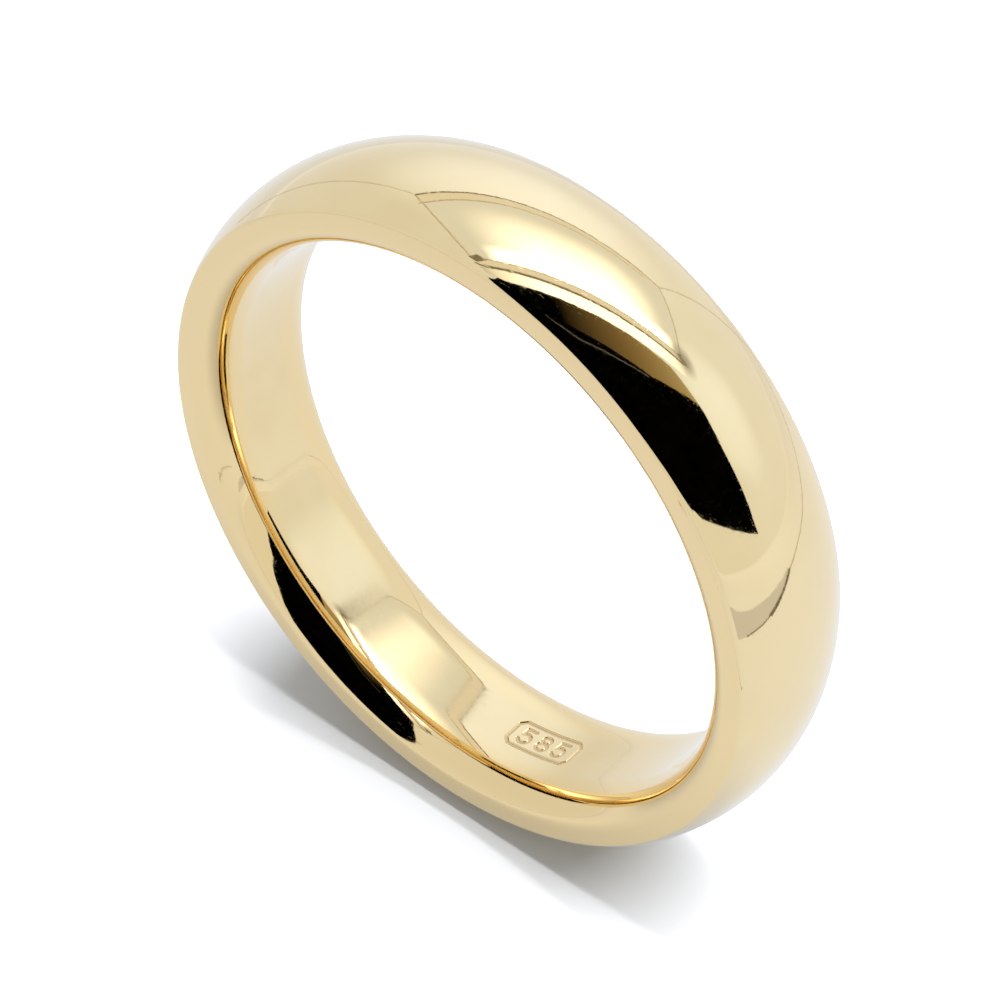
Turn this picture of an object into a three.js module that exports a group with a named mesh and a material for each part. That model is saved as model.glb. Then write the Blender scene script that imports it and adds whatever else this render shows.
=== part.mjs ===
// Plain D-shaped, comfort-fit wedding band: one solid piece of gold.
// Millimetres, +Z up. The finger axis is Y and the origin is the centre of the bore.

import * as THREE from 'three';

// Driving dimensions
const BORE_DIAMETER = 19.8;      // narrowest, midway between the side faces: US ring size 10
const OUTSIDE_DIAMETER = 24.2;   // over the crown of the dome
const BAND_WIDTH = 5.0;          // side face to side face
const MOUTH_DIAMETER = 21.7;     // where the curved bore meets a side face
const LAND_WIDTH = 1.7;          // the straight middle of the bore
const EASING_SQUARENESS = 2.2;   // 2 makes the easing an ellipse, more squares it
const SHOULDER_DIAMETER = 22.75; // where the dome meets a side face
const SHOULDER_SOFTENING = 0.08; // how far polishing takes the shoulder's edge back on each side

// Facets
const TURN_STEPS = 96;
const EASING_STEPS = 8;
const DOME_STEPS = 14;

const HALF_WIDTH = BAND_WIDTH / 2;

// The comfort-fit bore: a straight land in the middle, then a squared ellipse out to each side
// face, which it is tangent to. turn runs from 0 at the land to pi/2 at the side face.
function borePoint(turn, side) {
  const boreRadius = BORE_DIAMETER / 2;
  const relief = MOUTH_DIAMETER / 2 - boreRadius;
  const depth = Math.abs(Math.cos(turn)) ** (2 / EASING_SQUARENESS);
  const across = Math.sin(turn) ** (2 / EASING_SQUARENESS);
  const offset = LAND_WIDTH / 2 + (HALF_WIDTH - LAND_WIDTH / 2) * across;
  return new THREE.Vector2(boreRadius + relief * (1 - depth), side * offset);
}

// The dome: one arc of a circle through the crown and, but for the softening, both shoulders.
// across runs from -1 at the lower shoulder to +1 at the upper one.
function domePoint(across) {
  const rise = (OUTSIDE_DIAMETER - SHOULDER_DIAMETER) / 2;
  const arcRadius = (HALF_WIDTH ** 2 + rise ** 2) / (2 * rise);
  const centre = OUTSIDE_DIAMETER / 2 - arcRadius;
  const shoulderAngle = Math.asin(HALF_WIDTH / arcRadius) - SHOULDER_SOFTENING / arcRadius;
  const angle = across * shoulderAngle;
  return new THREE.Vector2(centre + arcRadius * Math.cos(angle), arcRadius * Math.sin(angle));
}

// Closed cross-section as (radius, position along the finger axis), counter-clockwise.
function bandProfile() {
  const points = [];
  const flatEdge = SHOULDER_DIAMETER / 2 - SHOULDER_SOFTENING;
  for (let i = 0; i <= DOME_STEPS; i++) points.push(domePoint((2 * i) / DOME_STEPS - 1));
  points.push(new THREE.Vector2(flatEdge, HALF_WIDTH));
  const easingTurn = (i) => (i / EASING_STEPS) * (Math.PI / 2);
  for (let i = EASING_STEPS; i >= 0; i--) points.push(borePoint(easingTurn(i), 1));
  for (let i = 0; i <= EASING_STEPS; i++) points.push(borePoint(easingTurn(i), -1));
  points.push(new THREE.Vector2(flatEdge, -HALF_WIDTH));
  points.push(points[0].clone());
  return points;
}

// The lathe turns about Y, which is the finger axis.
function makeBand() {
  const geometry = new THREE.LatheGeometry(bandProfile(), TURN_STEPS);
  const gold = new THREE.MeshStandardMaterial({ color: 0xe3c27a, roughness: 0.08, metalness: 1.0 });
  const band = new THREE.Mesh(geometry, gold);
  band.name = 'band';
  return band;
}

const weddingBand = new THREE.Group();
weddingBand.add(makeBand());

export default weddingBand;
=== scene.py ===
"""A plain polished gold wedding band standing on its rim in a small light tent."""

import math

import bpy
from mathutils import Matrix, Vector


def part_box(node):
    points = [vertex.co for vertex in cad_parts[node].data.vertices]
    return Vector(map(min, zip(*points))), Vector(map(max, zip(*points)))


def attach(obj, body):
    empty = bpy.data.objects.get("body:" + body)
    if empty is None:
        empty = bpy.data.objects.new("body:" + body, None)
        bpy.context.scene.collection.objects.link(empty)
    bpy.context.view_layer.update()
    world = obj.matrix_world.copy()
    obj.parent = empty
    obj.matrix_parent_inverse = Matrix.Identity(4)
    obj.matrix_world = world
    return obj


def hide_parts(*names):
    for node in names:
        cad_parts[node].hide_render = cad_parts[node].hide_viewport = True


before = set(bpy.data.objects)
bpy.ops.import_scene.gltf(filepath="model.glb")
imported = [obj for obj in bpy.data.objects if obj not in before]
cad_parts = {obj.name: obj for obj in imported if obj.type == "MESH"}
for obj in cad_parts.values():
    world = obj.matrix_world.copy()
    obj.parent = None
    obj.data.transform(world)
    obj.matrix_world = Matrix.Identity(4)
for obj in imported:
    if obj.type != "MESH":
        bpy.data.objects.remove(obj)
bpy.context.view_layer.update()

MM = 0.001

# The band's cross-section, as in the CAD. Its outside radius and half width come from the frame.
BORE_RADIUS = 9.9 * MM
MOUTH_RADIUS = 10.85 * MM
SHOULDER_RADIUS = 11.375 * MM
SHOULDER_FILLET = 0.2 * MM
LAND_HALF = 0.85 * MM
EASING_SQUARENESS = 2.2

# The engraved fineness number in the bore, near the ring's lowest point.
TURNS = 432   # columns round the ring
MARK_FIRST, MARK_COLUMNS, MARK_SPLIT = 327, 26, 6   # columns that hold the mark, and how finely
MARK_ROWS = 68
MARK_DEPTH = 0.045 * MM
STROKE = 0.055 * MM   # half the width of a cut line
STROKE_WALL = 0.028 * MM
DIGIT_HEIGHT = 0.66 * MM
DIGIT_WIDTH = 0.5 * MM
DIGIT_PITCH = 0.74 * MM
FRAME_LENGTH = 2.7 * MM
FRAME_HEIGHT = 1.14 * MM
FRAME_CLIP = 0.2 * MM

# The marks that polishing and wear leave: the bore's added roughness, and heights.
BORE_HAZE = 0.06
RIPPLE_DEPTH = 6e-4 * MM
BUFFING_DEPTH = 2.5e-5 * MM
HAIRLINE_DEPTH = 5e-5 * MM

# How finely the cross-section's curves are cut.
DOME_STEPS = 36
FILLET_STEPS = 5
EASING_STEPS = 28

# The gold's colours.
GOLD_LIGHT = (0.935, 0.765, 0.445, 1)
GOLD_DEEP = (0.915, 0.735, 0.415, 1)
# painted shade: a darker, warmer gold for the side faces and the easing
GOLD_SIDE_SHADE = (0.92, 0.725, 0.40, 1)
GOLD_CUT = (0.62, 0.40, 0.17, 1)
# painted shade: darkens the land's gold so that its reflections in the bore are dimmer
LAND_SHADE = (0.96, 0.95, 0.94, 1)

# The gold's polish.
COAT_ROUGHNESS = 0.03
COAT_IOR = 1.5
SIDE_COAT = 0.55   # the coat's weight on the side faces and the easing; it is 1 elsewhere
POLISH = (0.025, 0.055)   # roughness along and beside a buffing line
HAIRLINE_ROUGHNESS = 0.08
CUT_ROUGHNESS = 0.22
CUT_DULLNESS = 0.6

# How fine the noise behind each kind of mark is, in waves per metre.
BUFFING_SCALE = 700.0
BUFFING_STRETCH = 40.0   # how much finer it is across the band than around it
HAIRLINE_SCALE = 16000.0
HAIRLINE_STRETCH = 0.02
RIPPLE_SCALE = 3200.0
BLOTCH_SCALE = 450.0

low, high = (Vector(corner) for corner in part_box("band"))
CROWN_RADIUS = (high.x - low.x) / 2
HALF_WIDTH = (high.y - low.y) / 2
FLOOR_Z = low.z

# The camera, by the angles it looks from.
CAMERA_AZIMUTH = math.radians(40.18)
CAMERA_ELEVATION = math.radians(42.5)
CAMERA_DISTANCE = 74.8 * MM
AIM_RIGHT = 0.278 * MM
AIM_UP = 0.095 * MM
LENS = 86.1
SENSOR = 36.0


# ---------------------------------------------------------------- camera

def camera_axes():
    """Right, up and back of a level camera that looks at the ring."""
    a, e = CAMERA_AZIMUTH, CAMERA_ELEVATION
    back = Vector((math.sin(a) * math.cos(e), -math.cos(a) * math.cos(e), math.sin(e)))
    right = Vector((math.cos(a), math.sin(a), 0.0))
    return right, back.cross(right), back


def add_camera():
    right, up, back = camera_axes()
    data = bpy.data.cameras.new("camera")
    data.sensor_width = SENSOR
    data.lens = LENS
    data.clip_start = 1 * MM
    camera = bpy.data.objects.new("camera", data)
    bpy.context.collection.objects.link(camera)
    camera.location = right * AIM_RIGHT + up * AIM_UP + back * CAMERA_DISTANCE
    camera.rotation_euler = back.to_track_quat("Z", "Y").to_euler()
    bpy.context.scene.camera = camera


# ---------------------------------------------------------------- band

def arc_points(centre, radius, start, end, steps):
    """Points on a circle in the (radius, offset) plane, both ends included."""
    angles = [start + (end - start) * i / steps for i in range(steps + 1)]
    return [(centre[0] + radius * math.cos(t), centre[1] + radius * math.sin(t)) for t in angles]


def bore_points(steps):
    """The comfort-fit bore: a straight land, and a squared ellipse from it to each side face."""
    relief = MOUTH_RADIUS - BORE_RADIUS
    upper = []
    for i in range(steps + 1):
        turn = math.pi / 2 * (1 - i / steps)
        depth = abs(math.cos(turn)) ** (2 / EASING_SQUARENESS)
        across = math.sin(turn) ** (2 / EASING_SQUARENESS)
        offset = LAND_HALF + (HALF_WIDTH - LAND_HALF) * across
        upper.append((BORE_RADIUS + relief * (1 - depth), offset))
    return upper + [(r, -y) for r, y in reversed(upper)]


def band_profile():
    """Closed cross-section as (radius, offset along the finger axis), and the row where the land starts."""
    rise = CROWN_RADIUS - SHOULDER_RADIUS
    dome_radius = (HALF_WIDTH ** 2 + rise ** 2) / (2 * rise)
    dome_centre = CROWN_RADIUS - dome_radius
    # The fillet touches the dome from inside and the side face.
    f = SHOULDER_FILLET
    fillet_y = HALF_WIDTH - f
    fillet_r = dome_centre + math.sqrt((dome_radius - f) ** 2 - fillet_y ** 2)
    touch = math.atan2(fillet_y, fillet_r - dome_centre)
    points = arc_points((dome_centre, 0), dome_radius, -touch, touch, DOME_STEPS)
    points += arc_points((fillet_r, fillet_y), f, touch, math.pi / 2, FILLET_STEPS)[1:]
    bore = bore_points(EASING_STEPS)
    land_row = len(points) + len(bore) // 2 - 1
    points += bore
    points += arc_points((fillet_r, -fillet_y), f, -math.pi / 2, -touch, FILLET_STEPS)[:-1]
    return points, land_row


def digit_strokes(digit):
    """The centre lines of a 5 or an 8 in a unit square, as closed or open paths."""
    if digit == "5":
        bowl = [(0.42 + 0.46 * math.cos(t), 0.33 + 0.33 * math.sin(t))
                for t in (math.pi * (0.75 - 1.6 * i / 12) for i in range(13))]
        return [[(0.86, 1.0), (0.16, 1.0), bowl[0]] + bowl[1:]]
    rings = []
    for middle, wide, tall in ((0.77, 0.34, 0.23), (0.27, 0.43, 0.27)):
        turns = [2 * math.pi * i / 16 for i in range(17)]
        rings.append([(0.5 + wide * math.cos(t), middle + tall * math.sin(t)) for t in turns])
    return rings


def mark_paths():
    """Every cut line of the mark, as (along the bore, across it) from the mark's middle."""
    paths = []
    for place, digit in enumerate("585"):
        left = (place - 1) * DIGIT_PITCH - DIGIT_WIDTH / 2
        for path in digit_strokes(digit):
            paths.append([(left + x * DIGIT_WIDTH, (y - 0.5) * DIGIT_HEIGHT) for x, y in path])
    l, h, c = FRAME_LENGTH / 2, FRAME_HEIGHT / 2, FRAME_CLIP
    paths.append([(l - c, h), (l, h - c), (l, c - h), (l - c, -h), (c - l, -h), (-l, c - h), (-l, h - c),
                  (c - l, h), (l - c, h)])
    return paths


def distance_to_path(x, y, path):
    nearest = 1.0
    for (ax, ay), (bx, by) in zip(path, path[1:]):
        dx, dy = bx - ax, by - ay
        t = ((x - ax) * dx + (y - ay) * dy) / (dx * dx + dy * dy)
        t = min(1.0, max(0.0, t))
        nearest = min(nearest, math.hypot(x - ax - t * dx, y - ay - t * dy))
    return nearest


def mark_depth(x, y, paths):
    """How deep the mark is cut at a point of the land."""
    if abs(x) > FRAME_LENGTH / 2 + 2 * STROKE or abs(y) > FRAME_HEIGHT / 2 + 2 * STROKE:
        return 0.0
    distance = min(distance_to_path(x, y, path) for path in paths)
    wall = (STROKE + STROKE_WALL / 2 - distance) / STROKE_WALL
    wall = min(1.0, max(0.0, wall))
    return MARK_DEPTH * wall * wall * (3 - 2 * wall)


def make_band():
    """A lathed ring whose columns are finer at the mark, where the land is a fine grid."""
    profile, land_row = band_profile()
    rows = len(profile)
    pitch = 2 * math.pi / TURNS
    angles, marked = [], []
    for i in range(TURNS):
        inside = MARK_FIRST <= i < MARK_FIRST + MARK_COLUMNS
        parts = MARK_SPLIT if inside else 1
        angles += [(i + k / parts) * pitch for k in range(parts)]
        marked += [inside] * parts
    first = marked.index(True)
    last = first + MARK_COLUMNS * MARK_SPLIT
    middle = (MARK_FIRST + MARK_COLUMNS / 2) * pitch
    paths = mark_paths()

    vertices = []
    for t in angles:
        vertices += [(r * math.cos(t), y, r * math.sin(t)) for r, y in profile]
    land = {}   # the fine grid's inner rows, by column
    for column in range(first, last + 1):
        t = angles[column]
        land[column] = [column * rows + land_row]
        for k in range(1, MARK_ROWS):
            y = LAND_HALF * (1 - 2 * k / MARK_ROWS)
            r = BORE_RADIUS + mark_depth((t - middle) * BORE_RADIUS, y, paths)
            land[column].append(len(vertices))
            vertices.append((r * math.cos(t), y, r * math.sin(t)))
        land[column].append(column * rows + land_row + 1)

    faces = []
    columns = len(angles)
    for i in range(columns):
        j = (i + 1) % columns
        for k in range(rows):
            m = (k + 1) % rows
            if k != land_row:
                faces.append((i * rows + k, j * rows + k, j * rows + m, i * rows + m))
            elif i in land and j in land:
                here, there = land[i], land[j]
                faces += [(here[n], there[n], there[n + 1], here[n + 1]) for n in range(MARK_ROWS)]
            elif j in land:
                faces.append((i * rows + k, *land[j], i * rows + m))
            elif i in land:
                faces.append((*reversed(land[i]), j * rows + k, j * rows + m))
            else:
                faces.append((i * rows + k, j * rows + k, j * rows + m, i * rows + m))
    mesh = bpy.data.meshes.new("polished_band")
    mesh.from_pydata(vertices, [], faces)
    mesh.update()
    mesh.shade_smooth()
    band = bpy.data.objects.new("polished_band", mesh)
    bpy.context.collection.objects.link(band)
    return band


def math_node(nodes, links, operation, *values):
    node = nodes.new("ShaderNodeMath")
    node.operation = operation
    for socket, value in zip(node.inputs, values):
        if isinstance(value, (int, float)):
            socket.default_value = value
        else:
            links.new(value, socket)
    return node.outputs["Value"]


def fade_node(nodes, links, value, span, result=(0.0, 1.0)):
    node = nodes.new("ShaderNodeMapRange")
    node.interpolation_type = "SMOOTHSTEP"
    links.new(value, node.inputs["Value"])
    node.inputs["From Min"].default_value, node.inputs["From Max"].default_value = span
    node.inputs["To Min"].default_value, node.inputs["To Max"].default_value = result
    return node.outputs["Result"]


def noise_node(nodes, links, vector, scale, detail=2.0):
    node = nodes.new("ShaderNodeTexNoise")
    links.new(vector, node.inputs["Vector"])
    node.inputs["Scale"].default_value = scale
    node.inputs["Detail"].default_value = detail
    return node.outputs["Fac"]


def gold_material():
    """Polished gold: buffing lines round the band, stray hairlines, slight ripples, duller cuts, and
    painted shade on the side faces, the easing and the land.
    """
    material = bpy.data.materials.new("polished_gold")
    material.use_nodes = True
    nodes, links = material.node_tree.nodes, material.node_tree.links
    shader = nodes["Principled BSDF"]
    shader.inputs["Metallic"].default_value = 1.0
    shader.inputs["Coat Roughness"].default_value = COAT_ROUGHNESS
    shader.inputs["Coat IOR"].default_value = COAT_IOR

    place = nodes.new("ShaderNodeTexCoord").outputs["Object"]
    split = nodes.new("ShaderNodeSeparateXYZ")
    links.new(place, split.inputs["Vector"])
    x, y, z = (split.outputs[axis] for axis in "XYZ")
    squares = math_node(nodes, links, "ADD", math_node(nodes, links, "MULTIPLY", x, x),
                        math_node(nodes, links, "MULTIPLY", z, z))
    radius = math_node(nodes, links, "SQRT", squares)
    offset = math_node(nodes, links, "ABSOLUTE", y)

    # Buffing lines follow the band: fine across the profile, long around it.
    across = math_node(nodes, links, "MULTIPLY", math_node(nodes, links, "ADD", radius, y), BUFFING_STRETCH)
    lines_at = nodes.new("ShaderNodeCombineXYZ")
    links.new(x, lines_at.inputs["X"])
    links.new(across, lines_at.inputs["Y"])
    links.new(z, lines_at.inputs["Z"])
    buffing = noise_node(nodes, links, lines_at.outputs["Vector"], BUFFING_SCALE, 3.0)

    # Hairlines from wear: two families of long thin marks at a slant.
    hairlines = None
    for turn in ((0.5, 0.3, 0.9), (-0.7, 0.8, -0.4)):
        slant = nodes.new("ShaderNodeMapping")
        slant.inputs["Rotation"].default_value = turn
        slant.inputs["Scale"].default_value = (HAIRLINE_STRETCH, 1.0, 1.0)
        links.new(place, slant.inputs["Vector"])
        streaks = noise_node(nodes, links, slant.outputs["Vector"], HAIRLINE_SCALE, 1.0)
        marks = fade_node(nodes, links, streaks, (0.66, 0.74))
        hairlines = marks if hairlines is None else math_node(nodes, links, "MAXIMUM", hairlines, marks)

    ripples = noise_node(nodes, links, place, RIPPLE_SCALE, 1.0)
    blotches = noise_node(nodes, links, place, BLOTCH_SCALE, 3.0)

    # A polishing wheel does not reach into the engraving.
    deeper = fade_node(nodes, links, radius, (BORE_RADIUS + 0.2 * MARK_DEPTH, BORE_RADIUS + MARK_DEPTH))
    on_land = math_node(nodes, links, "LESS_THAN", offset, LAND_HALF)
    cut = math_node(nodes, links, "MULTIPLY", deeper,
                    math_node(nodes, links, "MULTIPLY", on_land,
                              math_node(nodes, links, "LESS_THAN", radius, BORE_RADIUS + 2 * MARK_DEPTH)))

    # The crown and the land take the brightest finish; the side faces and the easing take less coat and a
    # darker, warmer gold, which is painted shade.
    crown = fade_node(nodes, links, radius, (SHOULDER_RADIUS - 0.15 * MM, SHOULDER_RADIUS + 0.1 * MM))
    level = fade_node(nodes, links, offset, (LAND_HALF, 1.5 * LAND_HALF), (1.0, 0.0))
    bright = math_node(nodes, links, "MAXIMUM", crown, level)
    coat = fade_node(nodes, links, bright, (0.0, 1.0), (SIDE_COAT, 1.0))
    links.new(coat, shader.inputs["Coat Weight"])

    tone = nodes.new("ShaderNodeMix")
    tone.data_type = "RGBA"
    links.new(fade_node(nodes, links, blotches, (0.35, 0.7)), tone.inputs["Factor"])
    tone.inputs["A"].default_value = GOLD_LIGHT
    tone.inputs["B"].default_value = GOLD_DEEP
    side_shade_mix = nodes.new("ShaderNodeMix")
    side_shade_mix.data_type = "RGBA"
    links.new(bright, side_shade_mix.inputs["Factor"])
    side_shade_mix.inputs["A"].default_value = GOLD_SIDE_SHADE
    links.new(tone.outputs["Result"], side_shade_mix.inputs["B"])
    # Painted shade: the land's gold is darkened a little, which dims what it reflects in the bore.
    within = math_node(nodes, links, "LESS_THAN", radius, (BORE_RADIUS + MOUTH_RADIUS) / 2)
    inner = nodes.new("ShaderNodeMix")
    inner.data_type = "RGBA"
    inner.blend_type = "MULTIPLY"
    links.new(math_node(nodes, links, "MULTIPLY", level, within), inner.inputs["Factor"])
    links.new(side_shade_mix.outputs["Result"], inner.inputs["A"])
    inner.inputs["B"].default_value = LAND_SHADE
    dull = nodes.new("ShaderNodeMix")
    dull.data_type = "RGBA"
    links.new(math_node(nodes, links, "MULTIPLY", cut, CUT_DULLNESS), dull.inputs["Factor"])
    links.new(inner.outputs["Result"], dull.inputs["A"])
    dull.inputs["B"].default_value = GOLD_CUT
    links.new(dull.outputs["Result"], shader.inputs["Base Color"])

    rough = fade_node(nodes, links, buffing, (0.3, 0.75), POLISH)
    for marks, added in ((hairlines, HAIRLINE_ROUGHNESS), (cut, CUT_ROUGHNESS)):
        rough = math_node(nodes, links, "ADD", rough, math_node(nodes, links, "MULTIPLY", marks, added))
    land = fade_node(nodes, links, offset, (0.7 * LAND_HALF, 1.3 * LAND_HALF), (1.0, 0.0))
    inside = math_node(nodes, links, "LESS_THAN", radius, BORE_RADIUS + 0.15 * MM)
    haze = math_node(nodes, links, "MULTIPLY", math_node(nodes, links, "MULTIPLY", land, inside), BORE_HAZE)
    rough = math_node(nodes, links, "ADD", rough, haze)
    links.new(rough, shader.inputs["Roughness"])

    normal = None
    for height, depth in ((ripples, RIPPLE_DEPTH), (buffing, BUFFING_DEPTH), (hairlines, -HAIRLINE_DEPTH)):
        bump = nodes.new("ShaderNodeBump")
        bump.inputs["Strength"].default_value = 1.0
        bump.inputs["Distance"].default_value = abs(depth)
        bump.invert = depth < 0
        links.new(height, bump.inputs["Height"])
        if normal is not None:
            links.new(normal, bump.inputs["Normal"])
        normal = bump.outputs["Normal"]
    links.new(normal, shader.inputs["Normal"])
    links.new(normal, shader.inputs["Coat Normal"])
    return material


# ---------------------------------------------------------------- light tent

WALL_LIGHT = (0.86, 0.88, 0.90)   # what the plain cloth of the tent shines with
TENT_HEIGHT = 80 * MM   # from the ring's centre to the cloth above it
SOFTBOX_CLOTH = (0.80, 0.83, 0.86)
SOFTBOX_MIDDLE = 1.6
SOFTBOX_EDGE = 1.3
FLOOR_HALF = 600 * MM
FLOOR_TINT = (0.98, 1.0, 1.04)
SEEN_WHITENESS = 0.5
REFLECTED_WHITENESS = 0.12
KEY_LENGTH = 366 * MM
KEY_WIDTH = 104 * MM
KEY_PLACE = Vector((67, 32, 243)) * MM
KEY_WATTS = 3.1
UNIT_SQUARE = ((0, 0), (1, 0), (1, 1), (0, 1))
SHADE_DISTANCE = 80 * MM   # from the ring's centre to the dark side behind the camera


def glow_material(name, light, tint=(1, 1, 1)):
    material = bpy.data.materials.new(name)
    material.use_nodes = True
    nodes, links = material.node_tree.nodes, material.node_tree.links
    nodes.remove(nodes["Principled BSDF"])
    glow = nodes.new("ShaderNodeEmission")
    glow.inputs["Color"].default_value = (*tint, 1)
    glow.inputs["Strength"].default_value = light
    links.new(glow.outputs["Emission"], nodes["Material Output"].inputs["Surface"])
    return material


def ramp_material(name, axis, stops):
    """A glow that changes along one axis of the sheet's UV map."""
    brightest = max(max(light) for at, light in stops)
    material = glow_material(name, brightest)
    nodes, links = material.node_tree.nodes, material.node_tree.links
    coordinates = nodes.new("ShaderNodeTexCoord")
    split = nodes.new("ShaderNodeSeparateXYZ")
    ramp = nodes.new("ShaderNodeValToRGB")
    elements = ramp.color_ramp.elements
    elements.remove(elements[1])
    for i, (at, light) in enumerate(stops):
        element = elements[0] if i == 0 else elements.new(at)
        element.position = at
        element.color = (*(part / brightest for part in light), 1)
    links.new(coordinates.outputs["UV"], split.inputs["Vector"])
    links.new(split.outputs[axis], ramp.inputs["Fac"])
    links.new(ramp.outputs["Color"], nodes["Emission"].inputs["Color"])
    return material


def hidden_sheet(name, points, material, uv=None):
    """A flat stage piece that only the ring's reflections show."""
    mesh = bpy.data.meshes.new(name)
    mesh.from_pydata(points, [], [tuple(range(len(points)))])
    mesh.update()
    mesh.materials.append(material)
    if uv:
        layer = mesh.uv_layers.new(name="UVMap")
        for loop, at in zip(layer.data, uv):
            loop.uv = at
    sheet = bpy.data.objects.new(name, mesh)
    bpy.context.collection.objects.link(sheet)
    sheet.visible_camera = False
    sheet.visible_diffuse = False
    sheet.visible_shadow = False
    return sheet


def tent_point(right, away, up):
    """A point of the tent, which is square to the camera: right, away from it, and up."""
    a = CAMERA_AZIMUTH
    x = right * math.cos(a) - away * math.sin(a)
    y = right * math.sin(a) + away * math.cos(a)
    return Vector((x, y, up))


def on_ceiling(points, drop=0.0):
    """Points (right, away), in tent heights, on the ceiling or a little under it."""
    h = TENT_HEIGHT - drop
    return [tent_point(r * h, a * h, h) for r, a in points]


def on_floor(points, lift=0.05 * MM):
    """Points (right, away), in bore radii, just above the floor."""
    return [tent_point(r * BORE_RADIUS, a * BORE_RADIUS, FLOOR_Z + lift) for r, a in points]


def behind_camera(points, distance):
    """Points (u, v) as slopes to the right and up from the line back to the camera."""
    right, up, back = camera_axes()
    return [(right * u + up * v + back) * distance for u, v in points]


def stripe(start, end, width):
    """Corners of a straight stripe between two plane points."""
    start, end = Vector(start), Vector(end)
    along = end - start
    side = Vector((-along.y, along.x)).normalized() * width / 2
    return [tuple(p) for p in (start - side, end - side, end + side, start + side)]


def soft_spot_material(name, light, strength):
    """A round patch that is strongest in its middle and clear at its rim."""
    material = glow_material(name, light, (1, 0.95, 0.85))
    nodes, links = material.node_tree.nodes, material.node_tree.links
    distance = nodes.new("ShaderNodeVectorMath")
    distance.operation = "DISTANCE"
    links.new(nodes.new("ShaderNodeTexCoord").outputs["UV"], distance.inputs[0])
    distance.inputs[1].default_value = (0.5, 0.5, 0)
    cover = fade_node(nodes, links, distance.outputs["Value"], (0.05, 0.5), (strength, 0.0))
    mix = nodes.new("ShaderNodeMixShader")
    links.new(cover, mix.inputs["Fac"])
    links.new(nodes.new("ShaderNodeBsdfTransparent").outputs["BSDF"], mix.inputs[1])
    links.new(nodes["Emission"].outputs["Emission"], mix.inputs[2])
    links.new(mix.outputs["Shader"], nodes["Material Output"].inputs["Surface"])
    return material


def softbox_material():
    """A hot patch that fades to its sides and its back, on evenly lit cloth."""
    material = glow_material("softbox", 1.0)
    nodes, links = material.node_tree.nodes, material.node_tree.links
    split = nodes.new("ShaderNodeSeparateXYZ")
    links.new(nodes.new("ShaderNodeTexCoord").outputs["UV"], split.inputs["Vector"])
    x, y = split.outputs["X"], split.outputs["Y"]
    across = math_node(nodes, links, "MULTIPLY", fade_node(nodes, links, x, (0.04, 0.33)),
                       fade_node(nodes, links, x, (0.6, 0.92), (1.0, 0.0)))
    patch = math_node(nodes, links, "MULTIPLY", across, fade_node(nodes, links, y, (0.0, 0.8), (1.0, 0.0)))
    strip = math_node(nodes, links, "MULTIPLY", fade_node(nodes, links, x, (0.05, 0.12)),
                      fade_node(nodes, links, x, (0.88, 0.97), (1.0, 0.0)))
    edge = math_node(nodes, links, "MULTIPLY", strip, fade_node(nodes, links, y, (0.07, 0.18), (1.0, 0.0)))
    last = None
    for factor, level in ((patch, SOFTBOX_MIDDLE), (edge, SOFTBOX_EDGE)):
        add = nodes.new("ShaderNodeVectorMath")
        add.operation = "MULTIPLY_ADD"
        links.new(factor, add.inputs[0])
        add.inputs[1].default_value = (level, level, level)
        if last is None:
            add.inputs[2].default_value = SOFTBOX_CLOTH
        else:
            links.new(last, add.inputs[2])
        last = add.outputs["Vector"]
    links.new(last, nodes["Emission"].inputs["Color"])
    return material


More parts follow.
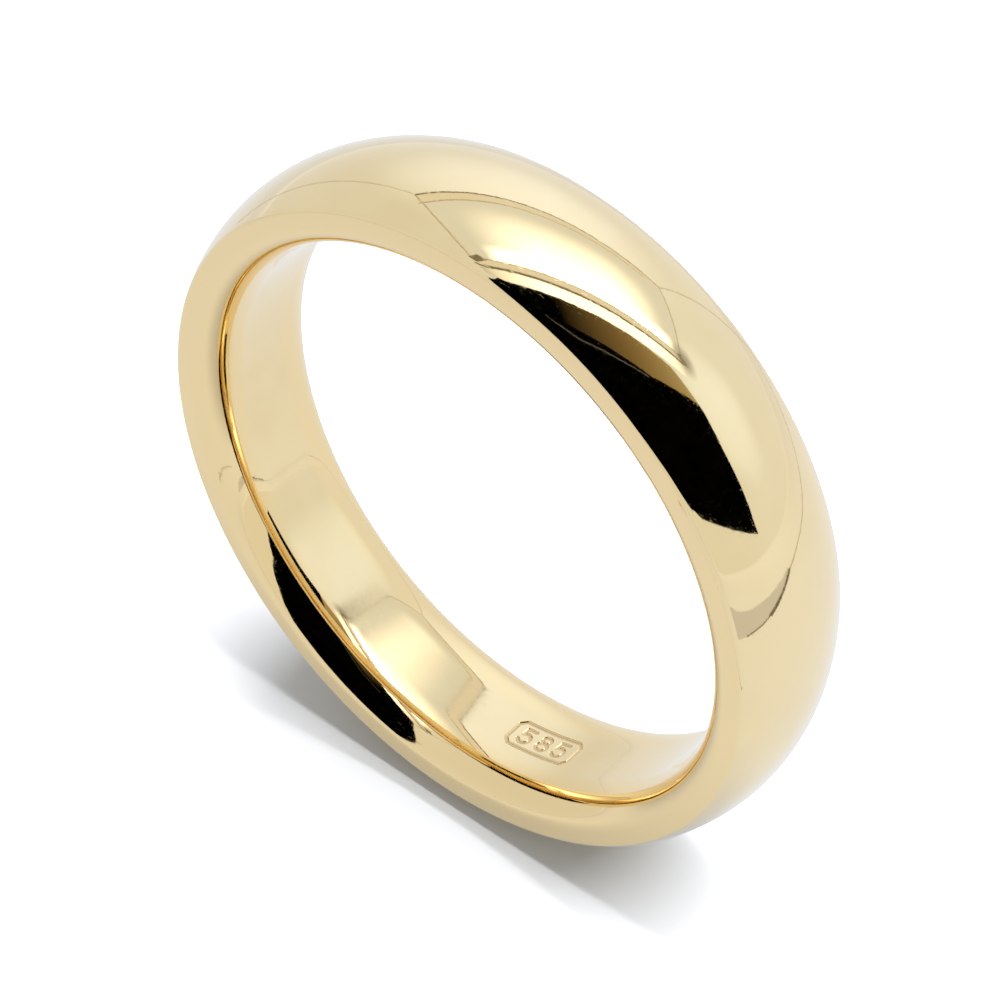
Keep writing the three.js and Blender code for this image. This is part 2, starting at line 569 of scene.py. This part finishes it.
def add_softbox():
    """A lit panel in the ceiling with its frame lines, a bright strip before it, and two corner clips."""
    corners = [(-0.38, 0.02), (0.97, 0.02), (1.08, 0.87), (-0.56, 0.77)]
    hidden_sheet("softbox", on_ceiling(corners), softbox_material(), UNIT_SQUARE)
    dark = glow_material("frame_line", 0.2, (1, 0.85, 0.6))
    soft = glow_material("frame_line_soft", 0.5, (1, 0.9, 0.72))
    lines = [((-0.44, -0.045), (1.0, -0.045), 0.02, dark), ((-0.40, 0.015), (0.97, 0.015), 0.01, soft),
             ((-0.56, 0.62), (0.0, 0.70), 0.018, soft), ((0.0, 0.70), (0.9, 0.79), 0.012, soft),
             ((-0.56, 0.78), (0.0, 0.83), 0.026, dark), ((0.0, 0.83), (1.09, 0.89), 0.018, dark),
             ((-0.41, 0.0), (-0.56, 0.78), 0.012, soft), ((0.97, 0.0), (1.09, 0.89), 0.014, soft)]
    for i, (start, end, width, material) in enumerate(lines):
        hidden_sheet(f"frame_line_{i}", on_ceiling(stripe(start, end, width), 0.4 * MM), material)
    cloth = glow_material("frame_cloth", 0.84, (1, 0.96, 0.88))
    front = [(-0.44, -0.045), (1.0, -0.045), (0.97, 0.015), (-0.40, 0.015)]
    back = [(-0.56, 0.62), (0.0, 0.70), (0.9, 0.79), (1.09, 0.89), (0.0, 0.83), (-0.56, 0.78)]
    hidden_sheet("frame_cloth_front", on_ceiling(front, 0.2 * MM), cloth)
    hidden_sheet("frame_cloth_back", on_ceiling(back, 0.2 * MM), cloth)
    edge = ((0.0, (0.6, 0.58, 0.54)), (0.27, (1.9, 1.9, 1.9)), (0.75, (1.95, 1.95, 1.95)),
            (1.0, (1.1, 1.1, 1.1)))
    stripe_points = [(-0.42, -0.135), (1.0, -0.165), (1.0, -0.05), (-0.42, -0.05)]
    hidden_sheet("front_stripe", on_ceiling(stripe_points, 0.1 * MM),
                 ramp_material("front_stripe", "X", edge), UNIT_SQUARE)
    shade = glow_material("corner_clip", 0.22, (1, 0.9, 0.7))
    left = [(-0.44, 0.02), (-0.36, 0.05), (-0.31, 0.01), (-0.40, -0.02)]
    right = [(0.93, 0.02), (0.99, 0.05), (1.06, -0.03), (0.98, -0.05)]
    hidden_sheet("corner_clip_left", on_ceiling(left, 0.6 * MM), shade)
    hidden_sheet("corner_clip_right", on_ceiling(right, 0.6 * MM), shade)
    around = [(0.83, -0.17), (1.23, -0.17), (1.23, 0.2), (0.83, 0.2)]
    shadow = soft_spot_material("corner_shadow", 0.3, 0.75)
    hidden_sheet("corner_shadow", on_ceiling(around, 0.8 * MM), shadow, UNIT_SQUARE)


def add_seams():
    """The two upright corners of the tent behind the ring, and the right edge of its floor sheet."""
    seam = glow_material("corner_seam", 0.62, (1, 0.94, 0.82))
    corners = (("left", (-0.57, 0.8), (-4.9, 6.8)), ("right", (1.1, 0.9), (7.8, 8.7)))
    for side, top, foot in corners:
        top, foot = Vector(top) * TENT_HEIGHT, Vector(foot) * BORE_RADIUS
        width = Vector((top.y, -top.x)).normalized() * 0.5 * MM
        a, b, c, d = foot - width, foot + width, top + width, top - width
        points = [tent_point(a.x, a.y, FLOOR_Z), tent_point(b.x, b.y, FLOOR_Z),
                  tent_point(c.x, c.y, TENT_HEIGHT), tent_point(d.x, d.y, TENT_HEIGHT)]
        hidden_sheet(f"corner_{side}", points, seam)
    side = glow_material("sheet_side", 0.55, (1, 0.93, 0.8))
    path = [(7.8, 8.7), (8.9, 4.5), (9.6, -0.2), (8.6, -2.0)]
    for i in range(len(path) - 1):
        hidden_sheet(f"sheet_side_{i}", on_floor(stripe(path[i], path[i + 1], 0.4)), side)


def add_camera_shade():
    """The unlit camera side of the tent, which the ring reflects as black, a brown card and a wire."""
    black = glow_material("unlit", 0.0)
    outline = [(-0.43, 0.86), (0.6, 0.81), (1.0, 0.76), (1.3, 0.48), (1.45, 0.22), (2.35, -0.6),
               (1.1, -0.47), (0.5, -0.4), (-0.25, -0.6), (-1.0, -1.0), (-2.4, -1.95),
               (-2.6, -1.3), (-1.5, -0.25), (-0.68, 0.55)]
    hidden_sheet("camera_shade", behind_camera(outline, SHADE_DISTANCE), black)
    browns = ((0.0, (0.0, 0.0, 0.0)), (0.4, (0.21, 0.14, 0.055)), (1.0, (0.48, 0.39, 0.20)))
    left, end = -0.02, 1.25
    card = [(left, 0.84), (0.6, 0.81), (1.0, 0.76), (end, 0.53), (0.6, 0.46), (left, 0.56)]
    uv = [((u - left) / (end - left), v) for u, v in card]
    card_glow = ramp_material("warm_card", "X", browns)
    hidden_sheet("warm_card", behind_camera(card, SHADE_DISTANCE - 1 * MM), card_glow, uv)
    grey = glow_material("grey_wire", 0.12, (1, 0.95, 0.9))
    wire = [(-0.15, 0.56), (0.05, 0.46), (0.55, 0.44)]
    for i in range(len(wire) - 1):
        points = behind_camera(stripe(wire[i], wire[i + 1], 0.012), SHADE_DISTANCE - 2 * MM)
        hidden_sheet(f"wire_{i}", points, grey)


def add_floor_edge():
    """The front edge of the white sheet that the ring stands on, and a faint line nearer to it; past the
    edge, a dim band is painted shadow.
    """
    line = glow_material("sheet_edge", 0.17, (1, 0.85, 0.65))
    # painted shadow: a dim band on the floor past the sheet's front edge, which the ring reflects
    rim = glow_material("floor_shadow_band", 0.64, (1, 1, 1.02))
    near_line = glow_material("sheet_edge_near", 0.56, (1, 0.95, 0.85))
    front = [(3.5, -3.9), (5.0, -3.25), (8.6, -2.0)]
    for i, width in enumerate((0.12, 0.36)):
        hidden_sheet(f"sheet_edge_{i}", on_floor(stripe(front[i], front[i + 1], width)), line)
    band = [(2.9, -4.2), (5.0, -3.25), (8.6, -2.0), (9.2, -2.4),
            (6.9, -4.7), (5.6, -5.6), (5.0, -7.6), (3.4, -8.2)]
    hidden_sheet("floor_shadow_band", on_floor(band, 0.03 * MM), rim)
    near = [(-1.66, -1.6), (-1.05, -2.2), (0.07, -2.62), (1.33, -2.65)]
    for i in range(len(near) - 1):
        hidden_sheet(f"sheet_edge_near_{i}", on_floor(stripe(near[i], near[i + 1], 0.07)), near_line)


def floor_sheet(name, z, whiteness):
    size = FLOOR_HALF
    mesh = bpy.data.meshes.new(name)
    corners = [(-size, -size, z), (size, -size, z), (size, size, z), (-size, size, z)]
    mesh.from_pydata(corners, [], [(0, 1, 2, 3)])
    material = bpy.data.materials.new(name)
    material.use_nodes = True
    shader = material.node_tree.nodes["Principled BSDF"]
    shader.inputs["Base Color"].default_value = (*(part * whiteness for part in FLOOR_TINT), 1)
    shader.inputs["Roughness"].default_value = 0.9
    shader.inputs["Specular IOR Level"].default_value = 0.0
    shader.inputs["Emission Color"].default_value = (1, 1, 1, 1)
    mesh.materials.append(material)
    floor = bpy.data.objects.new(name, mesh)
    bpy.context.collection.objects.link(floor)
    return floor


def add_floor():
    """One pale sheet that the camera sees, and a duller one under it that the ring reflects."""
    seen = floor_sheet("floor", FLOOR_Z, SEEN_WHITENESS)
    seen.visible_glossy = False
    seen.visible_diffuse = False
    seen.visible_shadow = False
    reflected = floor_sheet("floor_in_reflections", FLOOR_Z - 0.02 * MM, REFLECTED_WHITENESS)
    reflected.visible_camera = False
    even_out(seen, (45 * MM, 200 * MM), (0.0, 0.75))
    even_out(reflected, (60 * MM, 450 * MM), (0.37, 0.74))
    return seen, reflected


def even_out(floor, reach, glow):
    """Where the key light no longer reaches, the floor glows a little more, so that it stays pale."""
    nodes, links = floor.data.materials[0].node_tree.nodes, floor.data.materials[0].node_tree.links
    distance = nodes.new("ShaderNodeVectorMath")
    distance.operation = "LENGTH"
    links.new(nodes.new("ShaderNodeTexCoord").outputs["Object"], distance.inputs[0])
    strength = fade_node(nodes, links, distance.outputs["Value"], reach, glow)
    links.new(strength, nodes["Principled BSDF"].inputs["Emission Strength"])


def add_key_light(floors):
    """A long softbox high over the ring, a little behind it and on the right, for the floor alone."""
    data = bpy.data.lights.new("key", "AREA")
    data.shape = "RECTANGLE"
    data.size = KEY_LENGTH
    data.size_y = KEY_WIDTH
    data.energy = KEY_WATTS
    key = bpy.data.objects.new("key", data)
    bpy.context.collection.objects.link(key)
    key.location = KEY_PLACE
    key.visible_glossy = False
    key.visible_camera = False
    lit = bpy.data.collections.new("lit_by_key")
    for floor in floors:
        lit.objects.link(floor)
    key.light_linking.receiver_collection = lit


def add_world():
    """The tent's cloth: brighter behind the ring and at the far right, duller at the left and front."""
    world = bpy.data.worlds.new("tent_cloth")
    world.use_nodes = True
    nodes, links = world.node_tree.nodes, world.node_tree.links
    background = nodes["Background"]
    background.inputs["Strength"].default_value = 1.0
    direction = nodes.new("ShaderNodeTexCoord")
    base = nodes.new("ShaderNodeRGB")
    base.outputs["Color"].default_value = (*WALL_LIGHT, 1)
    last = base.outputs["Color"]
    behind = (tent_point(0.1, 0.72, 0.75), (0.76, 1.0), (0.22, 0.27, 0.38))
    lamp = (tent_point(1.8, -0.08, 1.0), (0.93, 1.0), (0.13, 0.18, 0.25))
    left = (tent_point(-0.8, 0.45, 0.4), (0.3, 1.0), (-0.08, -0.10, -0.14))
    front = (tent_point(0.1, -0.9, 0.0), (0.0, 0.9), (-0.04, -0.065, -0.13))
    for towards, span, tint in (behind, lamp, left, front):
        dot = nodes.new("ShaderNodeVectorMath")
        dot.operation = "DOT_PRODUCT"
        dot.inputs[1].default_value = towards.normalized()
        links.new(direction.outputs["Generated"], dot.inputs[0])
        add = nodes.new("ShaderNodeVectorMath")
        add.operation = "MULTIPLY_ADD"
        add.inputs[1].default_value = tint
        links.new(fade_node(nodes, links, dot.outputs["Value"], span), add.inputs[0])
        links.new(last, add.inputs[2])
        last = add.outputs["Vector"]
    links.new(last, background.inputs["Color"])
    bpy.context.scene.world = world
    bpy.context.scene.view_settings.view_transform = "Standard"


# ---------------------------------------------------------------- scene

add_camera()
add_world()
add_key_light(add_floor())
add_softbox()
add_seams()
add_camera_shade()
add_floor_edge()

band = make_band()
band.data.materials.append(gold_material())
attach(band, "root")
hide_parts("band")
